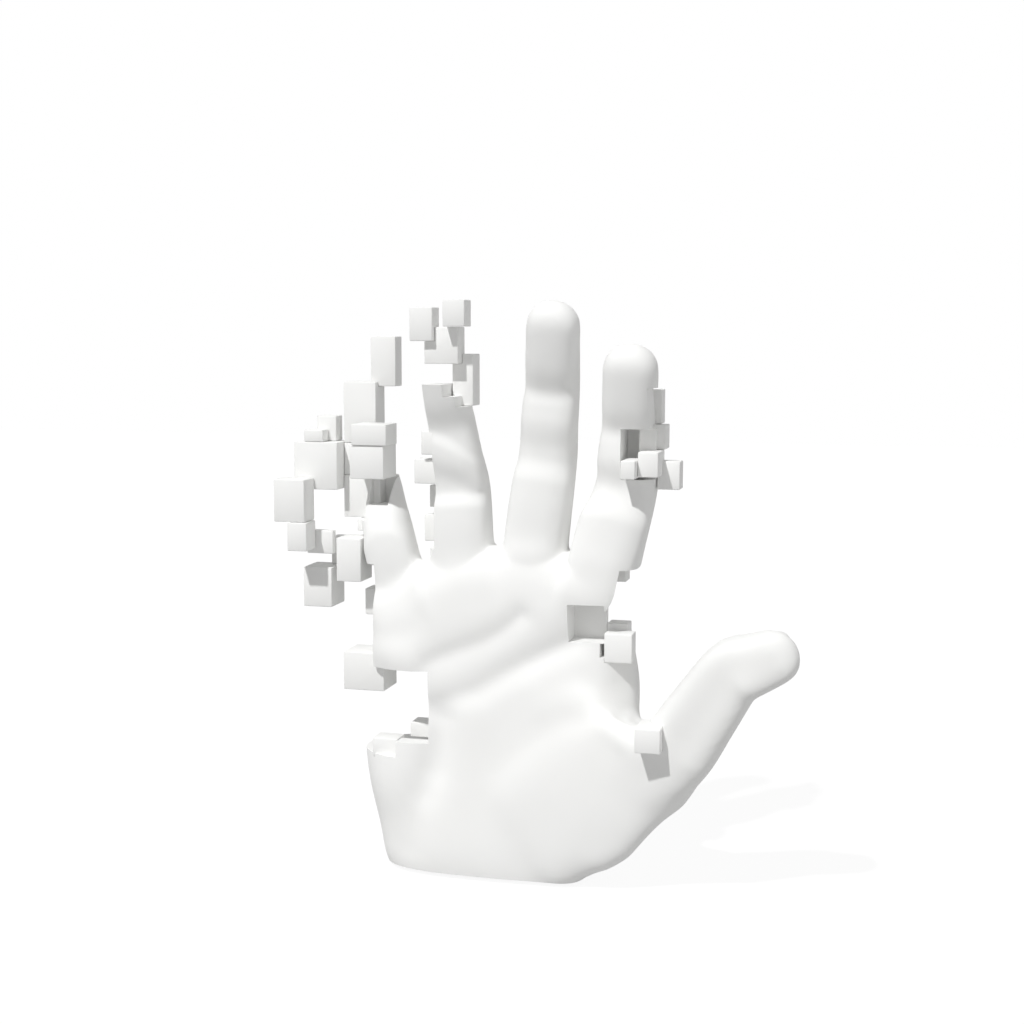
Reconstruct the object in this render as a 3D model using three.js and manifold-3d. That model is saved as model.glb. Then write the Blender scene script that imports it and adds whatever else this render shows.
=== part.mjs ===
// A right hand of white cast resin that breaks up into square blocks, standing on its wrist.
// Millimetres, +Z up. The palm faces -Y, the fingers point up and the thumb reaches towards +X.
import * as THREE from "three";
import { mergeVertices } from "three/addons/utils/BufferGeometryUtils.js";
import Module from "manifold-3d";

const wasm = await Module();
wasm.setup();

// Main sizes of the hand
const KNUCKLE_LEVEL = 92; // height of the finger roots over the ground
const PALM_SIDE = 42.5; // half the width of the palm at the knuckles

// Clearances
const GLUE_LINE = 0.1; // between two blocks glued face to face
const SEAM = 0.3; // round anything let into the hand, and in each joint of a digit
const PIN_FIT = 0.1; // round a steel pin in its hole

// Felt pad under the wrist
const FELT_THICK = 1.5;
const FELT_INSET = 5;

// Steel that holds the pieces together
const DOWEL_RADIUS = 2.5;
const DOWEL_LENGTH = 18;
const PIN_RADIUS = 0.75;
const PIN_LENGTH = 6;

// Digits, each with the points of its joints from the root to the centre of the rounded tip,
// half its width at those joints, and how far up from the root its casting begins.
const INDEX = {
  joints: [
    [PALM_SIDE - 9.1, 1, KNUCKLE_LEVEL],
    [PALM_SIDE + 1.3, 0, KNUCKLE_LEVEL + 38],
    [PALM_SIDE + 2.7, -2.5, KNUCKLE_LEVEL + 57],
    [PALM_SIDE + 4.3, -10.5, KNUCKLE_LEVEL + 76.4],
  ],
  wide: [12.2, 10, 8.8, 8.8],
  seat: 24.5,
};
const MIDDLE = {
  joints: [
    [11.5, 1, KNUCKLE_LEVEL],
    [17.7, 0, KNUCKLE_LEVEL + 46],
    [19.9, -2.5, KNUCKLE_LEVEL + 69],
    [22.2, -11.5, KNUCKLE_LEVEL + 90],
  ],
  wide: [11, 9.5, 8.7, 8.6],
  seat: 22,
};
const RING = {
  joints: [
    [-10.5, 1, KNUCKLE_LEVEL - 2],
    [-11.6, 0, KNUCKLE_LEVEL + 36],
    [-14, -4.5, KNUCKLE_LEVEL + 58],
    [-15.6, -13, KNUCKLE_LEVEL + 77],
  ],
  wide: [10.6, 9.5, 8.2, 7.8],
  seat: 24,
};
const LITTLE = {
  joints: [
    [12.2 - PALM_SIDE, 1, KNUCKLE_LEVEL - 6],
    [5.1 - PALM_SIDE, 0, KNUCKLE_LEVEL + 21.5],
    [-PALM_SIDE, 6.5, KNUCKLE_LEVEL + 35],
    [-4.5 - PALM_SIDE, 8.5, KNUCKLE_LEVEL + 50],
  ],
  wide: [8.4, 8.2, 7.4, 6.6],
  seat: 17,
};
const THUMB = {
  joints: [
    [PALM_SIDE - 0.5, -5.5, 32],
    [PALM_SIDE + 20.3, -16.5, 48.6],
    [PALM_SIDE + 39.3, -24.5, 77],
    [PALM_SIDE + 52.1, -27.5, 83.2],
  ],
  wide: [14.5, 12.5, 9.8, 8.4],
  seat: 27,
};
const PAD_SWELL = 1.5; // how far each finger pad bulges beyond the creases
const FINGER_FLATNESS = 0.84; // depth of a finger over its width

// Palm from the wrist up: centre line, half width, depth to the front and depth to the back
const FOOT_LEVEL = FELT_THICK + GLUE_LINE;
const PALM = [
  { at: [-2, 0, FOOT_LEVEL], wide: 33.5, front: 15.5, back: 16 },
  { at: [-2, 0, FOOT_LEVEL + 2.5], wide: 36, front: 16.8, back: 18 },
  { at: [-2.5, 0.5, 12], wide: 37, front: 17.8, back: 17.5 },
  { at: [-2, 1, 36], wide: PALM_SIDE + 1, front: 17, back: 16.5 },
  { at: [1.5, 1.5, KNUCKLE_LEVEL - 30], wide: PALM_SIDE + 4.7, front: 16, back: 14.5 },
  { at: [1.8, 1, KNUCKLE_LEVEL - 13], wide: PALM_SIDE + 1.8, front: 14.2, back: 13 },
  { at: [0, 1, KNUCKLE_LEVEL + 1], wide: PALM_SIDE, front: 12.5, back: 11.5 },
];
const WEB_RISE = 11;
const FINGER_ROLL = [
  { at: [8.5 - PALM_SIDE, -1, KNUCKLE_LEVEL - 7], wide: 12, front: 11, back: 10 },
  { at: [-14, -1, KNUCKLE_LEVEL + 1], wide: 14, front: 11.6, back: 11 },
  { at: [12, -1, KNUCKLE_LEVEL + 5], wide: 12, front: 11.4, back: 11 },
  { at: [PALM_SIDE - 5.5, -1, KNUCKLE_LEVEL + 2], wide: 12, front: 10.4, back: 11 },
];
const THUMB_FAN = [
  { at: [-4, -2, 34], wide: 20, front: 12.5, back: 8 },
  { at: [17, -4, 48], wide: 22, front: 12.5, back: 8 },
  { at: [42, -9, 58], wide: 12, front: 9, back: 8 },
];
const THENAR = [
  { at: [15.5, -6.5, 18.5], wide: 23, front: 12, back: 16 },
  { at: [36, -10, 34], wide: 24.8, front: 12, back: 17 },
  { at: [56.5, -15, 41.8], wide: 16.6, front: 10.5, back: 14 },
];
const HYPOTHENAR = [
  { at: [-24, -1, 14], wide: 13, front: 14, back: 10 },
  { at: [-28, -2, 30], wide: 15, front: 15, back: 10 },
  { at: [-28, -1, 46], wide: 14, front: 13, back: 10 },
];

// Square bites out of the hand
const ULNAR_SIDE = 3.1 - PALM_SIDE; // flat side of the palm below the little finger
const ULNAR_NOTCH = { side: ULNAR_SIDE + 20.2, low: 44.8, high: KNUCKLE_LEVEL - 23 };
// The corner and the back of the notch floor lie lower
const HEEL_STEP = { side: ULNAR_SIDE + 9.2, back: -9, drop: 5 };
const RING_SIDE = -18.3; // flat outer side of the ring finger
const RADIAL_NOTCH = {
  side: PALM_SIDE - 4.1,
  low: KNUCKLE_LEVEL - 8.4,
  high: KNUCKLE_LEVEL + 12.8,
  back: -1,
  backStep: 5,
};
const PALM_POCKET = { wide: 10.8, low: KNUCKLE_LEVEL - 11, high: KNUCKLE_LEVEL + 1.5, back: -3 };
const FAR = 250; // further out than any part of the hand

// Geometry helpers
function solid(geometry) {
  const bare = geometry.clone();
  bare.deleteAttribute("normal");
  bare.deleteAttribute("uv");
  const joined = mergeVertices(bare, 1e-4);
  const corners = joined.index.array;
  const faces = [];
  for (let i = 0; i < corners.length; i += 3) {
    const [a, b, c] = [corners[i], corners[i + 1], corners[i + 2]];
    if (a !== b && b !== c && c !== a) faces.push(a, b, c);
  }
  const mesh = new wasm.Mesh({
    numProp: 3,
    vertProperties: new Float32Array(joined.attributes.position.array),
    triVerts: new Uint32Array(faces),
  });
  return new wasm.Manifold(mesh);
}

function geometryOf(body) {
  const mesh = body.getMesh();
  const geometry = new THREE.BufferGeometry();
  geometry.setAttribute("position", new THREE.BufferAttribute(mesh.vertProperties, 3));
  geometry.setIndex(new THREE.BufferAttribute(mesh.triVerts, 1));
  return geometry;
}

// A rounded limb: a capsule bent along its stations, with its own width and depth at each one.
function limb(stations, { sides = 20, rings = 3, dome, squareness = 2.2, grow = 0 }) {
  const spine = new THREE.CatmullRomCurve3(stations.map((s) => new THREE.Vector3(...s.at)));
  const girth = new THREE.CatmullRomCurve3(
    stations.map((s) => new THREE.Vector3(s.wide + grow, s.front + grow, s.back + grow)),
  );
  const capsule = new THREE.CapsuleGeometry(1, 1, 5, sides, (stations.length - 1) * rings);
  const points = capsule.attributes.position;
  for (let i = 0; i < points.count; i += 1) {
    const local = new THREE.Vector3().fromBufferAttribute(points, i);
    const along = THREE.MathUtils.clamp(local.y + 0.5, 0, 1);
    const beyond = local.y + 0.5 - along;
    const here = spine.getPoint(along);
    const up = spine.getTangent(along);
    const front = new THREE.Vector3(0, -1, 0);
    front.addScaledVector(up, -front.dot(up)).normalize();
    const side = new THREE.Vector3().crossVectors(up, front);
    const size = girth.getPoint(along);
    const reach = Math.hypot(local.x, local.z);
    const turn = Math.atan2(local.z, local.x);
    const square = (Math.abs(Math.cos(turn)) ** squareness + Math.abs(Math.sin(turn)) ** squareness);
    const fuller = reach * square ** (-1 / squareness);
    here.addScaledVector(side, fuller * Math.cos(turn) * size.x);
    here.addScaledVector(front, fuller * Math.sin(turn) * (local.z > 0 ? size.y : size.z));
    here.addScaledVector(up, beyond * (dome + grow));
    points.setXYZ(i, here.x, here.y, here.z);
  }
  return solid(capsule);
}

// Stations of a digit: every joint, and the middle of every bone where the pad swells.
function digitStations({ joints, wide }) {
  const stations = [];
  joints.forEach((joint, i) => {
    const half = wide[i] * FINGER_FLATNESS;
    stations.push({ at: joint, wide: wide[i], front: half, back: half });
    if (i === joints.length - 1) return;
    const middle = joint.map((value, axis) => (value + joints[i + 1][axis]) / 2);
    const girth = (wide[i] + wide[i + 1]) / 2;
    const depth = girth * FINGER_FLATNESS;
    stations.push({ at: middle, wide: girth, front: depth + PAD_SWELL, back: depth - PAD_SWELL / 3 });
  });
  return stations;
}

function boxSolid(corner, size) {
  const geometry = new THREE.BoxGeometry(...size);
  geometry.translate(...corner.map((value, axis) => value + size[axis] / 2));
  return solid(geometry);
}

// Box between two corners; a missing limit reaches far out.
function bite({ x = [-FAR, FAR], y = [-FAR, FAR], z = [-FAR, FAR] }) {
  const limits = [x, y, z];
  return boxSolid(limits.map((l) => l[0]), limits.map((l) => l[1] - l[0]));
}

function rod(centre, direction, radius, length) {
  const geometry = new THREE.CylinderGeometry(radius, radius, length, 16);
  const turn = new THREE.Quaternion().setFromUnitVectors(new THREE.Vector3(0, 1, 0), direction);
  geometry.applyQuaternion(turn);
  geometry.translate(centre.x, centre.y, centre.z);
  return solid(geometry);
}

// Digits and the planes where their castings meet the palm
function digit(shape, flesh) {
  const root = new THREE.Vector3(...shape.joints[0]);
  const next = new THREE.Vector3(...shape.joints[1]);
  const direction = next.clone().sub(root).normalize();
  const seat = root.clone().addScaledVector(direction, shape.seat);
  const bare = limb(digitStations(shape), { dome: shape.wide.at(-1) * 0.95, squareness: 2.5 });
  const whole = flesh ? bare.add(flesh) : bare;
  const plane = seat.dot(direction);
  const normal = direction.toArray();
  const steel = rod(seat, direction, DOWEL_RADIUS, DOWEL_LENGTH);
  const hole = rod(seat, direction, DOWEL_RADIUS + PIN_FIT, DOWEL_LENGTH + 2 * PIN_FIT);
  return {
    shape,
    steel,
    hole,
    upper: whole.trimByPlane(normal, plane + SEAM / 2),
    lower: whole.trimByPlane(normal.map((v) => -v), SEAM / 2 - plane),
  };
}

const digits = {
  thumb: digit(THUMB, limb(THENAR, { sides: 24, rings: 4, dome: 14, squareness: 2.8 })),
  index: digit(INDEX),
  middle: digit(MIDDLE),
  ring: digit(RING),
  little: digit(LITTLE),
};

// Blocks are plain boxes. Those let into the hand are placed from one of its joints or bites,
// the others lie against a face of the block that carries them.
const blocks = [];

function addBlock(name, corner, size, seatedIn = []) {
  const block = {
    name,
    size,
    min: corner,
    max: corner.map((value, axis) => value + size[axis]),
    seatedIn,
    holes: [],
  };
  blocks.push(block);
  return block;
}

function seated(name, landmark, offset, size, seatedIn) {
  return addBlock(name, landmark.map((value, axis) => value + offset[axis]), size, seatedIn);
}

const AXES = ["x", "y", "z"];
const FACES = {
  right: { axis: "x", outward: true },
  left: { axis: "x", outward: false },
  back: { axis: "y", outward: true },
  front: { axis: "y", outward: false },
  top: { axis: "z", outward: true },
  bottom: { axis: "z", outward: false },
};

function against(name, carrier, face, size, slide, seatedIn) {
  const axis = AXES.indexOf(FACES[face].axis);
  const corner = carrier.min.map((value, i) => value + slide[i]);
  const below = carrier.min[axis] - GLUE_LINE - size[axis];
  corner[axis] = FACES[face].outward ? carrier.max[axis] + GLUE_LINE : below;
  return addBlock(name, corner, size, seatedIn);
}

// A block let into a corner of the one that carries it
function letInto(name, carrier, slide, size) {
  const block = seated(name, carrier.min, slide, size);
  carrier.holes.push(pocket(block, GLUE_LINE));
  return block;
}

function pocket(block, clearance) {
  return boxSolid(block.min.map((v) => v - clearance), block.size.map((v) => v + 2 * clearance));
}

// Ring finger: two cut levels at the stump and the blocks that stand in for its tip
const ringEnd = RING.joints[2];
const ringLow = ringEnd[2] + 5.9;
const ringHigh = ringEnd[2] + 13.1;
const ringStep = ringEnd[0] + 1.2;
const postCorner = [ringStep + 0.2, ringEnd[1] - 2, ringLow + GLUE_LINE];
const ringPost = addBlock("ring_post_block", postCorner, [7, 8, 16.7]);
const ringCore = letInto("ring_core_block", ringPost, [-8.1, -4.4, 13.6], [11.4, 7.6, 11.8]);
against("ring_cap_block", ringCore, "top", [7.3, 7.6, 8.5], [7.7, -4.9, 0]);
letInto("ring_outer_block", ringCore, [-4.3, -2.2, 7.3], [7.7, 7.6, 10.8]);
const ringMid = RING.joints[1];
seated("ring_side_block_1", ringMid, [-12.7, -4, 11.6], [8.3, 7, 7.8], ["ring"]);
seated("ring_side_block_2", ringMid, [-15.8, -2, 1.8], [11.4, 7, 8.1], ["ring"]);
seated("ring_side_block_3", ringMid, [-12.9, 5.5, -6.8], [9, 4, 7.4], ["ring"]);
seated("ring_side_block_4", ringMid, [-14.8, 5.5, -18.4], [10.8, 4.5, 9.1], ["ring", "palm"]);

// Little finger: a low stump, a stack of blocks above it and a chain of them round its outer side
const littleBend = LITTLE.joints[2];
const littleTop = littleBend[2] + 4.5;
const littleEnd = [littleBend[0] + 0.5, littleBend[1] - 12.5, littleTop];
const littleShoulder = littleTop - 14.2;
const stackCorner = [littleEnd[0] - 5.2, littleEnd[1] - 4, littleTop + GLUE_LINE];
const stackLow = addBlock("little_stack_block_1", stackCorner, [11.8, 13, 11]);
against("little_stack_block_2", stackLow, "top", [12.2, 11, 7], [0.8, -0.5, 0]);
const towerLow = against("little_tower_block_1", stackLow, "back", [11.5, 9.2, 10.8], [-6.9, 0, 0]);
const towerHigh = against("little_tower_block_2", towerLow, "top", [11.5, 9.2, 20.6], [0, 0, 0]);
letInto("little_tower_block_3", towerHigh, [8.8, 3, 19.1], [8.8, 6.7, 16.7]);
const armInner = against("little_arm_block_1", towerLow, "left", [15.6, 12.5, 16], [0, -6.5, -4.6]);
const armCap = against("little_arm_block_2", armInner, "top", [6.9, 6, 8.5], [6.4, 5.5, 0]);
against("little_arm_block_3", armCap, "front", [6.8, 5.4, 4], [-2.6, 0, 0]);
const armOuter = against("little_arm_block_4", armInner, "front", [10.9, 9, 14.2], [-3.6, 0, -10.2]);
const armDrop = against("little_arm_block_5", armOuter, "bottom", [6.9, 8.2, 9.6], [4.8, -0.4, 0]);
against("little_arm_block_6", armDrop, "back", [9.3, 3, 7.9], [3.7, 0, -1.7]);
const sideCorner = [towerLow.min[0], littleEnd[1] + 8.5, littleShoulder];
addBlock("little_side_block_1", sideCorner, [13.1, 8.5, littleTop - littleShoulder], ["little"]);
seated("little_side_block_2", littleEnd, [-6.5, 6, -18.6], [7, 8, 4.2], ["little"]);
const barCorner = [littleEnd[0] - 18, littleEnd[1] + 11.2, littleTop - 31];
const barWide = ULNAR_SIDE + 3 - barCorner[0];
const sideBar = addBlock("little_bar_block_1", barCorner, [barWide, 6, 9.5], ["little", "palm"]);
const sideFront = against("little_bar_block_2", sideBar, "front", [8.7, 11, 14.7], [6.1, 0, -4.1]);
against("little_bar_block_3", sideBar, "bottom", [10.2, 12.2, 13.6], [-7.1, -8.2, 0]);

// Outer side of the palm and the floor of its notch
const ulnarEdge = [ULNAR_SIDE, 0, ULNAR_NOTCH.high];
seated("palm_side_block_1", ulnarEdge, [-7.3, 2, 15], [9.5, 8, 9], ["palm"]);
seated("palm_side_block_2", ulnarEdge, [-11.4, -8.5, -8.9], [14.4, 13, 12.9], ["palm"]);
const heelCorner = [HEEL_STEP.side, HEEL_STEP.back, ULNAR_NOTCH.low];
seated("heel_block_1", heelCorner, [-9.2, -3, -6.2], [8.8, 7.5, 6.4], ["palm"]);
seated("heel_block_2", [ULNAR_NOTCH.side, 0, ULNAR_NOTCH.low], [-11.6, 2, -2.4], [14, 8, 4.9], ["palm"]);

// Index finger: a square recess in its thumb side with blocks standing in and beside it
const indexEnd = INDEX.joints[2];
const recessLow = indexEnd[2] - 15.6;
const recessHigh = indexEnd[2] + 0.5;
const recessSide = indexEnd[0] - 1.5;
const recessBack = indexEnd[1] - 1;
seated("index_block_1", indexEnd, [3, 5, 1.6], [6.5, 6, 11], ["index"]);
seated("index_block_2", indexEnd, [3.5, 1.1, -6.4], [7.8, 8.4, 7.8], ["index"]);
const indexFront = seated("index_block_3", indexEnd, [4.4, -9.5, -14.4], [6.4, 12.5, 7.9], ["index"]);
against("index_block_4", indexFront, "left", [4.6, 12.5, 5.8], [0, -4.5, -0.4], ["index"]);
letInto("index_block_5", indexFront, [4.7, 9, -4.6], [7.2, 7, 9]);

// Palm beside the thumb: blocks at the lower edge of the notch and on the web
const notchFoot = [RADIAL_NOTCH.side, 0, RADIAL_NOTCH.low];
const notchHead = [RADIAL_NOTCH.side, 0, RADIAL_NOTCH.high];
const webFront = seated("palm_edge_block_1", notchFoot, [0.6, -10.5, -8.9], [9, 7, 9.4], ["palm"]);
against("palm_edge_block_2", webFront, "back", [6.8, 7, 9], [-0.5, 0, 2.4], ["palm"]);
seated("palm_edge_block_3", notchHead, [-1.6, 4, -6.2], [6.4, 7, 8.2], ["palm", "index"]);
seated("web_block", THUMB.joints[1], [-9.7, -16.5, 3.4], [8, 13, 7.6], ["palm", "thumb"]);

// Steel pins through the faces of the blocks that carry the others
const pins = [];

function addPin(name, centre, axis, holders) {
  const direction = new THREE.Vector3();
  direction[axis] = 1;
  pins.push({ name, steel: rod(centre, direction, PIN_RADIUS, PIN_LENGTH) });
  const hole = rod(centre, direction, PIN_RADIUS + PIN_FIT, PIN_LENGTH + 2 * PIN_FIT);
  holders.forEach((holder) => holder.holes.push(hole));
}

function pinBetween(name, first, second, face) {
  const { axis, outward } = FACES[face];
  const centre = new THREE.Vector3();
  AXES.forEach((letter, i) => {
    const low = Math.max(first.min[i], second.min[i]);
    const high = Math.min(first.max[i], second.max[i]);
    centre[letter] = (low + high) / 2;
    if (letter === axis) centre[letter] = outward ? first.max[i] : first.min[i];
  });
  addPin(name, centre, axis, [first, second]);
}

const ringStump = { holes: [] };
const postFoot = new THREE.Vector3(ringPost.min[0] + 3, ringPost.min[1] + 4, ringLow);
addPin("ring_post_pin", postFoot, "z", [ringPost, ringStump]);
pinBetween("little_stack_pin", stackLow, towerLow, "back");
pinBetween("ring_core_pin", ringCore, ringPost, "bottom");
pinBetween("little_arm_pin", towerLow, armInner, "left");
pinBetween("little_bar_pin", sideBar, sideFront, "front");

// Bites, grouped by the castings they cut
const heelFloor = ULNAR_NOTCH.low - HEEL_STEP.drop;
const pocketSide = RADIAL_NOTCH.side - PALM_POCKET.wide;
const radial = [RADIAL_NOTCH.low, RADIAL_NOTCH.high];
const bites = {
  palm: [
    bite({ z: [-FAR, FOOT_LEVEL] }),
    bite({ x: [-FAR, ULNAR_SIDE], z: [ULNAR_NOTCH.high, FAR] }),
    bite({ x: [-FAR, ULNAR_NOTCH.side], z: [ULNAR_NOTCH.low, ULNAR_NOTCH.high] }),
    bite({ x: [-FAR, HEEL_STEP.side], z: [heelFloor, ULNAR_NOTCH.high] }),
    bite({ x: [-FAR, ULNAR_NOTCH.side], y: [HEEL_STEP.back, FAR], z: [heelFloor, ULNAR_NOTCH.high] }),
    bite({ x: [RADIAL_NOTCH.side, FAR], y: [-12, FAR], z: radial }),
    bite({ x: [RADIAL_NOTCH.side - RADIAL_NOTCH.backStep, FAR], y: [RADIAL_NOTCH.back, FAR], z: radial }),
    bite({
      x: [pocketSide, RADIAL_NOTCH.side + 1],
      y: [-FAR, PALM_POCKET.back],
      z: [PALM_POCKET.low, PALM_POCKET.high],
    }),
  ],
  thumb: [],
  index: [
    bite({ x: [recessSide, FAR], y: [-FAR, recessBack], z: [recessLow, recessHigh] }),
    boxSolid([recessSide, recessBack - 1, recessHigh - 10], [4.8, 7, 10]),
    bite({ x: [indexEnd[0] + 7.4, FAR], z: [recessHigh, recessHigh + 13] }),
  ],
  middle: [],
  ring: [
    bite({ z: [ringHigh, FAR] }),
    bite({ x: [ringStep, FAR], z: [ringLow, FAR] }),
    bite({ x: [-FAR, RING_SIDE], z: [ringMid[2] - 19, ringMid[2] + 19.3] }),
    bite({ x: [-FAR, RING_SIDE - 1.3], z: [ringMid[2] + 19, FAR] }),
  ],
  little: [
    bite({ z: [littleTop, FAR] }),
    bite({
      x: [littleEnd[0] - 1.3, littleEnd[0] + 5.9],
      y: [-FAR, littleEnd[1] + 14],
      z: [littleTop - 9.2, FAR],
    }),
    bite({ x: [-FAR, littleEnd[0] - 2.3], y: [-FAR, sideCorner[1]], z: [littleShoulder - SEAM, FAR] }),
  ],
};

function carve(name, body, holes) {
  const seats = blocks.filter((block) => block.seatedIn.includes(name)).map((block) => pocket(block, SEAM));
  return [...bites[name], ...seats, ...holes].reduce((rest, tool) => rest.subtract(tool), body);
}

// Castings
const palmShape = { sides: 40, rings: 3, dome: WEB_RISE, squareness: 3 };
const fanShape = { sides: 24, rings: 4, dome: 9 };
const palmRound = [
  limb(HYPOTHENAR, { sides: 24, rings: 4, dome: 10 }),
  limb(FINGER_ROLL, { sides: 20, rings: 3, dome: 8 }),
  limb(THUMB_FAN, fanShape),
].reduce((body, mass) => body.add(mass), limb(PALM, palmShape));
const palmClear = limb(PALM, { ...palmShape, grow: SEAM }).add(limb(THUMB_FAN, { ...fanShape, grow: SEAM }));
const palmWhole = Object.values(digits).reduce((body, d) => body.add(d.lower), palmRound);
const castings = { palm: carve("palm", palmWhole, Object.values(digits).map((d) => d.hole)) };
for (const [name, d] of Object.entries(digits)) {
  const pinned = name === "ring" ? ringStump.holes : [];
  castings[name] = carve(name, d.upper, [palmClear, d.hole, ...pinned]);
}

// Felt pad: the outline of the wrist, drawn in from its edge
function feltPad() {
  const [foot] = PALM;
  const outline = new THREE.EllipseCurve(
    0, 0, foot.wide - FELT_INSET, Math.min(foot.front, foot.back) - FELT_INSET,
  );
  const shape = new THREE.Shape(outline.getPoints(32).slice(0, 32));
  return new THREE.ExtrudeGeometry(shape, { depth: FELT_THICK, bevelEnabled: false, steps: 1 });
}

// Assembly
const RESIN = { color: 0xf2f1ee, roughness: 0.75, metalness: 0 };
const STEEL = { color: 0xb9bcc0, roughness: 0.35, metalness: 1 };
const FELT = { color: 0x4a4d50, roughness: 1, metalness: 0 };

function place(parent, name, geometry, finish, position = [0, 0, 0]) {
  geometry.computeVertexNormals();
  const mesh = new THREE.Mesh(geometry, new THREE.MeshStandardMaterial(finish));
  mesh.name = name;
  mesh.position.set(...position);
  parent.add(mesh);
  return mesh;
}

const sculpture = new THREE.Group();
sculpture.name = "block_hand";
place(sculpture, "felt_pad", feltPad(), FELT, [PALM[0].at[0], PALM[0].at[1], 0]);
for (const [name, body] of Object.entries(castings)) {
  place(sculpture, `${name}_casting`, geometryOf(body), RESIN);
}
for (const [name, d] of Object.entries(digits)) {
  place(sculpture, `${name}_dowel`, geometryOf(d.steel), STEEL);
}
for (const pin of pins) place(sculpture, pin.name, geometryOf(pin.steel), STEEL);
for (const block of blocks) {
  const centre = block.min.map((value, axis) => value + block.size[axis] / 2);
  if (block.holes.length === 0) {
    place(sculpture, block.name, new THREE.BoxGeometry(...block.size), RESIN, centre);
  } else {
    const drilled = block.holes.reduce((b, hole) => b.subtract(hole), boxSolid(block.min, block.size));
    place(sculpture, block.name, geometryOf(drilled), RESIN);
  }
}

export default sculpture;
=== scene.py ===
# %% [markdown]
# # A hand that breaks up into blocks
# The object is a matt white sculpture of a right hand. It stands on the flat cut of its wrist, and its
# outer fingers and edges come apart into square blocks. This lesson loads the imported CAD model, sets up
# the camera, the light and the paints, models the skin of the hand as one seamless form over the
# castings, and puts a soft-edged block on every CAD block. Sizes are written in millimetres and turned to
# metres when a mesh is finished.

import math

import bmesh
import bpy
import numpy as np
from mathutils import Matrix, Vector


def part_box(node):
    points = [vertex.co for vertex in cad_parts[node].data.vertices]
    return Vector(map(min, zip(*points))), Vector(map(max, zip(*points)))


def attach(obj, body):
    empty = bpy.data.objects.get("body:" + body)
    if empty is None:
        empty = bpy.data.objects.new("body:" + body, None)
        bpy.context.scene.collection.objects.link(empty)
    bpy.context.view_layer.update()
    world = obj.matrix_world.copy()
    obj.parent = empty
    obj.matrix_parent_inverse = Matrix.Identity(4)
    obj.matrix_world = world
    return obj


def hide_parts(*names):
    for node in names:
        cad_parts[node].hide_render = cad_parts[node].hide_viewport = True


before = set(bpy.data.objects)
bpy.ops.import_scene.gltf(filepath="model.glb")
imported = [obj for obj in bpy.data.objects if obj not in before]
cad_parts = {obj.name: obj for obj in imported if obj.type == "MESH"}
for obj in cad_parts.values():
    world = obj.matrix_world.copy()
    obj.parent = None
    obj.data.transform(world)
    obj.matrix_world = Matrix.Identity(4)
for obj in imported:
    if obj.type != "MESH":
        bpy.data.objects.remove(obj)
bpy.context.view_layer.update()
MM = 0.001
print("loaded", len(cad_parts), "nodes")

# %% [markdown]
# ## The camera
# All the blocks are square to each other, so their edges lead to a vanishing point that gives the camera
# away: it stands half a metre off, 15 degrees to the thumb side, and looks down a little. The camera
# comes first, so that every later step can be compared with the photograph.

# %% Camera
CAMERA_AZIMUTH = math.radians(15)
CAMERA_PITCH = math.radians(6.7)
CAMERA_DISTANCE = 505 * MM
CAMERA_AIM = Vector((5.7, 0, 121)) * MM
LENS_MM, SENSOR_MM = 54, 36
NEAREST = 10 * MM

camera_data = bpy.data.cameras.new("camera")
camera_data.lens = LENS_MM
camera_data.sensor_width = SENSOR_MM
camera_data.clip_start = NEAREST
camera = bpy.data.objects.new("camera", camera_data)
looking = Vector((
    -math.sin(CAMERA_AZIMUTH) * math.cos(CAMERA_PITCH),
    math.cos(CAMERA_AZIMUTH) * math.cos(CAMERA_PITCH),
    -math.sin(CAMERA_PITCH),
))
camera.location = CAMERA_AIM - CAMERA_DISTANCE * looking
camera.rotation_euler = looking.to_track_quat("-Z", "Y").to_euler()
bpy.context.scene.collection.objects.link(camera)
bpy.context.scene.camera = camera
bpy.context.scene.view_settings.view_transform = "Standard"
print("camera at", [round(v, 3) for v in camera.location])

# %% [markdown]
# ## Colours and nodes
# Colours are written as the hex values that a paint chart would give. Shaders work in linear light, so
# one function converts them. A second one adds a shader node, with its settings and its links in one
# line. The floor and the room look different to the camera than to the light, so the last function tells
# the two apart.

# %% Colour and node helpers
def linear(hex_colour):
    # The sRGB curve, for one channel from 0 to 255
    def channel(value):
        value /= 255
        return value / 12.92 if value <= 0.04045 else ((value + 0.055) / 1.055) ** 2.4

    return tuple(channel(int(hex_colour[i:i + 2], 16)) for i in (1, 3, 5)) + (1.0,)


def add_node(tree, kind, inputs=None, **settings):
    made = tree.nodes.new(kind)
    for name, value in settings.items():
        setattr(made, name, value)
    for name, value in (inputs or {}).items():
        socket = made.inputs[name]
        if isinstance(value, bpy.types.NodeSocket):
            tree.links.new(value, socket)
        else:
            socket.default_value = value
    return made


def new_material(name):
    material = bpy.data.materials.new(name)
    material.use_nodes = True
    material.node_tree.nodes.clear()
    return material, material.node_tree


def seen_directly(tree):
    rays = add_node(tree, "ShaderNodeLightPath").outputs
    seen = rays["Is Camera Ray"]
    for kind in ("Is Glossy Ray", "Is Transmission Ray"):
        seen = add_node(tree, "ShaderNodeMath", {0: seen, 1: rays[kind]}, operation="MAXIMUM").outputs[0]
    return seen


print("white paint is", [round(v, 2) for v in linear("#F3F3F1")])

# %% [markdown]
# ## Studio light
# The photograph has the light of a white studio with one crisp lamp. That lamp stands high in front, a
# little to the left, and throws the shadows of the blocks: it is a sun with a small disc, so their edges
# are only slightly soft. A second, very broad and weak sun stands on the right, like a big softbox, and
# opens the shadows on that side. The room adds a little light from everywhere, and is plain white to the
# camera.

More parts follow.
